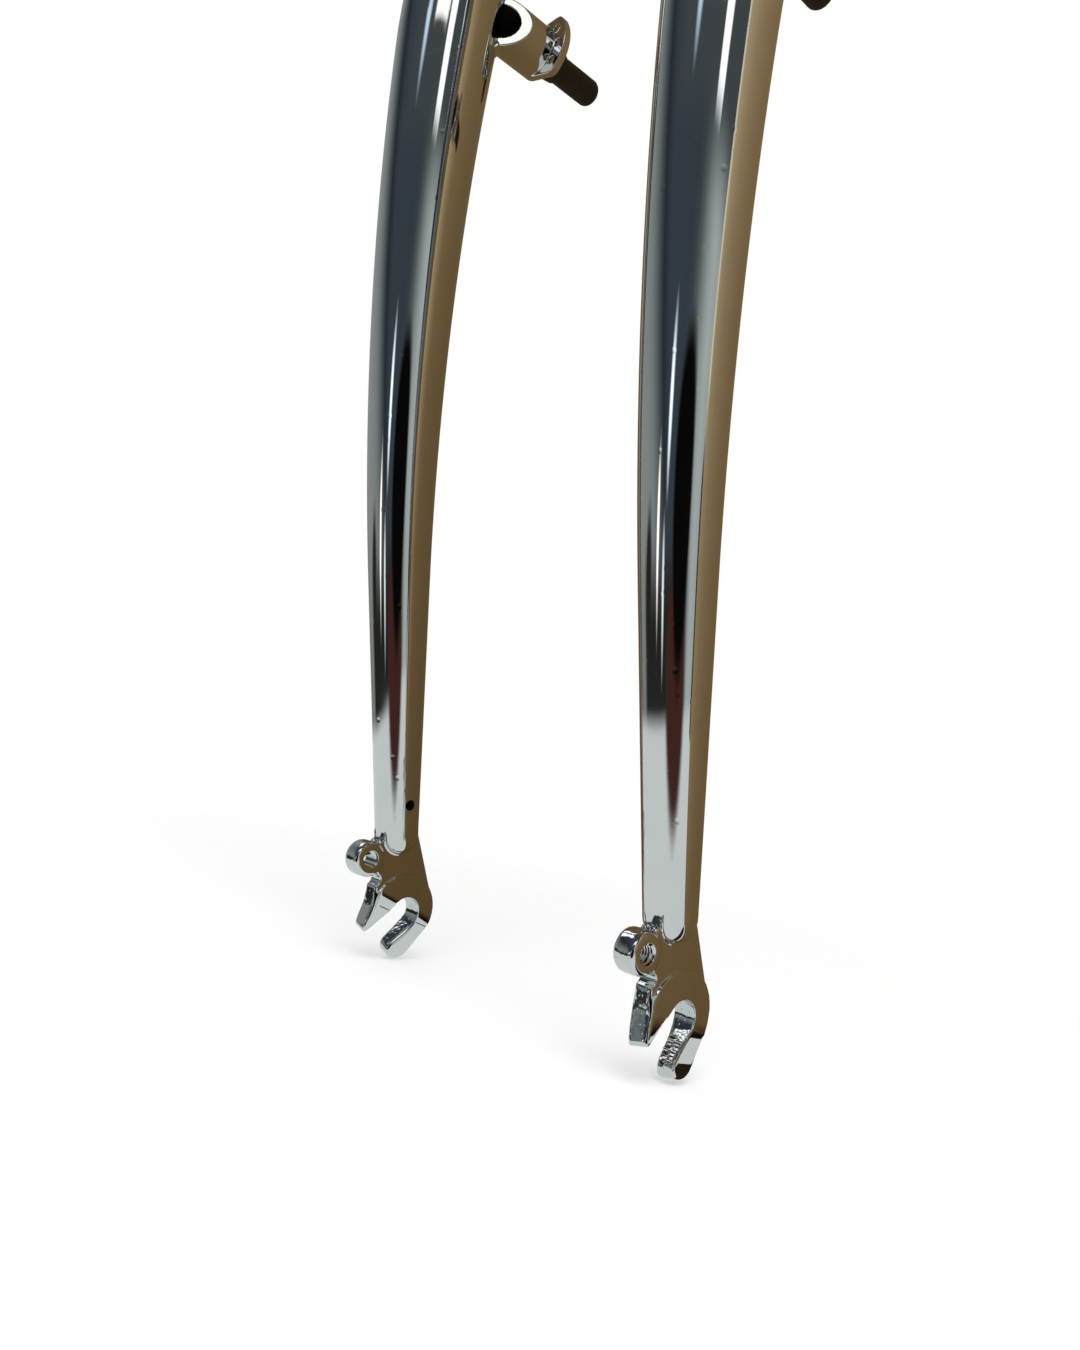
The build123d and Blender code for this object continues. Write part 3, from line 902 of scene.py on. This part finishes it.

# %% [markdown]
# The brown board stands a few centimetres in front of the blades. It is so near that its place counts, not
# only its direction, so it has real measures: a plane 58 mm ahead of the steering axis that ends just below
# the axle, paler to the right, with a painted shadow along its lower edge. Its narrow right edge is cream,
# and a dark strip lies under it.


# %% Board, its edge and a sill
def panel(name, centre, size, turn, paint):
    """Flat panel with real measures. Paint is a function that gives its colour at a place on three axes."""
    bpy.ops.mesh.primitive_plane_add(size=1.0, location=centre, rotation=turn)
    piece = bpy.context.object
    piece.name = name
    piece.scale = (size[0] * MM, size[1] * MM, 1)
    settle(piece)
    material, tree = new_material(name)
    place = add_node(tree, "TexCoord").outputs["Object"]
    tone = paint(tree, add_node(tree, "SeparateXYZ", {"Vector": place}).outputs)
    glow = add_node(tree, "Emission", {"Color": tone})
    add_node(tree, "OutputMaterial", {"Surface": glow.outputs["Emission"]})
    piece.data.materials.append(material)
    only_reflected(piece)
    return piece


def board_paint(tree, axes):
    across = add_node(tree, "MapRange", {"Value": axes["Y"], "From Min": -0.45, "From Max": 0.25})
    browns = [(0.0, "#C0AC88"), (0.34, "#AF9973"), (0.47, "#A08866"), (0.56, "#8C7450"), (0.7, "#7C6744"),
              (1.0, "#6E5A38")]
    brown = add_node(tree, "ValToRGB", {"Fac": across.outputs["Result"]}, browns).outputs["Color"]
    height = add_node(tree, "MapRange", {"Value": axes["Z"], "From Min": -0.42, "From Max": -0.1})
    shade = add_node(tree, "Mix", {0: height.outputs["Result"], 6: colour("#D0CABF"), 7: colour("#FFFFFF")},
                     data_type="RGBA").outputs[2]
    brown = add_node(tree, "Mix", {0: 1.0, 6: brown, 7: shade}, data_type="RGBA", blend_type="MULTIPLY")
    # The lowest few millimetres of the board are painted near black: a painted shadow along its lower edge.
    edge = add_node(tree, "MapRange", {"Value": axes["Z"], "From Min": -0.4142, "From Max": -0.4110},
                    interpolation_type="SMOOTHSTEP").outputs["Result"]
    return add_node(tree, "Mix", {0: edge, 6: colour("#1A120A"), 7: brown.outputs[2]},
                    data_type="RGBA").outputs[2]


def edge_paint(tree, axes):
    high = add_node(tree, "MapRange", {"Value": axes["Z"], "From Min": -0.26, "From Max": -0.2})
    return add_node(tree, "Mix", {0: high.outputs["Result"], 6: colour("#38342A"), 7: colour("#E6DCC4")},
                    data_type="RGBA").outputs[2]


# A flat near-black panel just below the board's lower end, seen only in reflections.
def dark_strip_paint(tree, axes):
    return colour("#2C2218")


panels = [
    panel("brown board", mm(58, -160, -157.4), (514.8, 580), (0, quarter, 0), board_paint),
    panel("edge of the board", mm(44, -450, -120), (26, 600), (quarter, 0, 0), edge_paint),
    panel("dark sill", mm(58, -95, -435.3), (30, 90), (0, quarter, 0), dark_strip_paint),
]
print("panels:", ", ".join(piece.name for piece in panels))

# %% [markdown]
# ## Floor, light and camera
# The floor is a pale disc that fades into a white surround. To the camera it is partly its own white, and the
# rest of it takes light and shadow, so the fork stands on a soft grey shadow.

# %% Floor
bpy.ops.mesh.primitive_circle_add(vertices=96, radius=0.6, fill_type="NGON", location=mm(30, 0, -424.0))
floor = bpy.context.object
floor.name = "floor"
pale, tree = new_material("pale floor")
place = add_node(tree, "TexCoord").outputs["Object"]
reach = add_node(tree, "VectorMath", {0: place}, operation="LENGTH").outputs["Value"]
cover = add_node(tree, "MapRange", {"Value": reach, "From Min": 0.22, "From Max": 0.5, "To Min": 1.0,
                                    "To Max": 0.0}, interpolation_type="SMOOTHSTEP").outputs["Result"]
matt = add_node(tree, "BsdfDiffuse", {"Color": colour("#F4F4F3")})
white = add_node(tree, "Emission", {"Color": colour("#FFFFFF")})
seen = add_node(tree, "MixShader", {0: 0.4, 1: matt.outputs["BSDF"], 2: white.outputs["Emission"]})
clear = add_node(tree, "BsdfTransparent")
faded = add_node(tree, "MixShader", {0: cover, 1: clear.outputs["BSDF"], 2: seen.outputs["Shader"]})
add_node(tree, "OutputMaterial", {"Surface": faded.outputs["Shader"]})
floor.data.materials.append(pale)
floor.visible_glossy = False
print("floor:", floor.name)

# %% [markdown]
# The light is plain: an even white world and one large lamp overhead. The camera and all mirrors see the
# world at a strength of 1, which is white, while it lights the pieces a little less than that.

# %% World and lamp
world = bpy.data.worlds.new("white surround")
bpy.context.scene.world = world
world.use_nodes = True
tree = world.node_tree
tree.nodes.clear()
path = add_node(tree, "LightPath")
seen = path.outputs["Is Camera Ray"]
for kind in ("Is Glossy Ray", "Is Transmission Ray"):
    seen = add_node(tree, "Math", {0: seen, 1: path.outputs[kind]}, operation="MAXIMUM").outputs["Value"]
strength = add_node(tree, "MapRange", {"Value": seen, "To Min": 0.75, "To Max": 1.0})
surround = add_node(tree, "Background", {"Color": colour("#FFFFFF"), "Strength": strength.outputs["Result"]})
add_node(tree, "OutputWorld", {"Surface": surround.outputs["Background"]})
bpy.ops.object.light_add(type="AREA", location=(-0.5, -0.5, 0.9))
lamp = bpy.context.object
lamp.name = "large soft lamp"
lamp.data.size = 1.0
lamp.data.energy = 14.0
lamp.rotation_euler = (lamp.location - MIDDLE).to_track_quat("Z", "Y").to_euler()
lamp.visible_glossy = False
print("lit by", world.name, "and", lamp.name)

# %% [markdown]
# The camera stands low behind the fork on its right and looks slightly up, so that the fork ends come close
# and the blades run out of the top of the picture.

# %% Camera
bpy.ops.object.camera_add(location=mm(-167.695, -212.298, -354.266))
camera = bpy.context.object
camera.name = "photo camera"
camera.rotation_euler = [math.radians(angle) for angle in (93.91937, -10.37526, -44.14826)]
camera.data.lens = 29.516
camera.data.sensor_width = 36.0
camera.data.clip_start = 0.01
bpy.context.scene.camera = camera
bpy.context.scene.view_settings.view_transform = "Standard"
print("camera:", camera.name, round(camera.data.lens, 2), "mm")
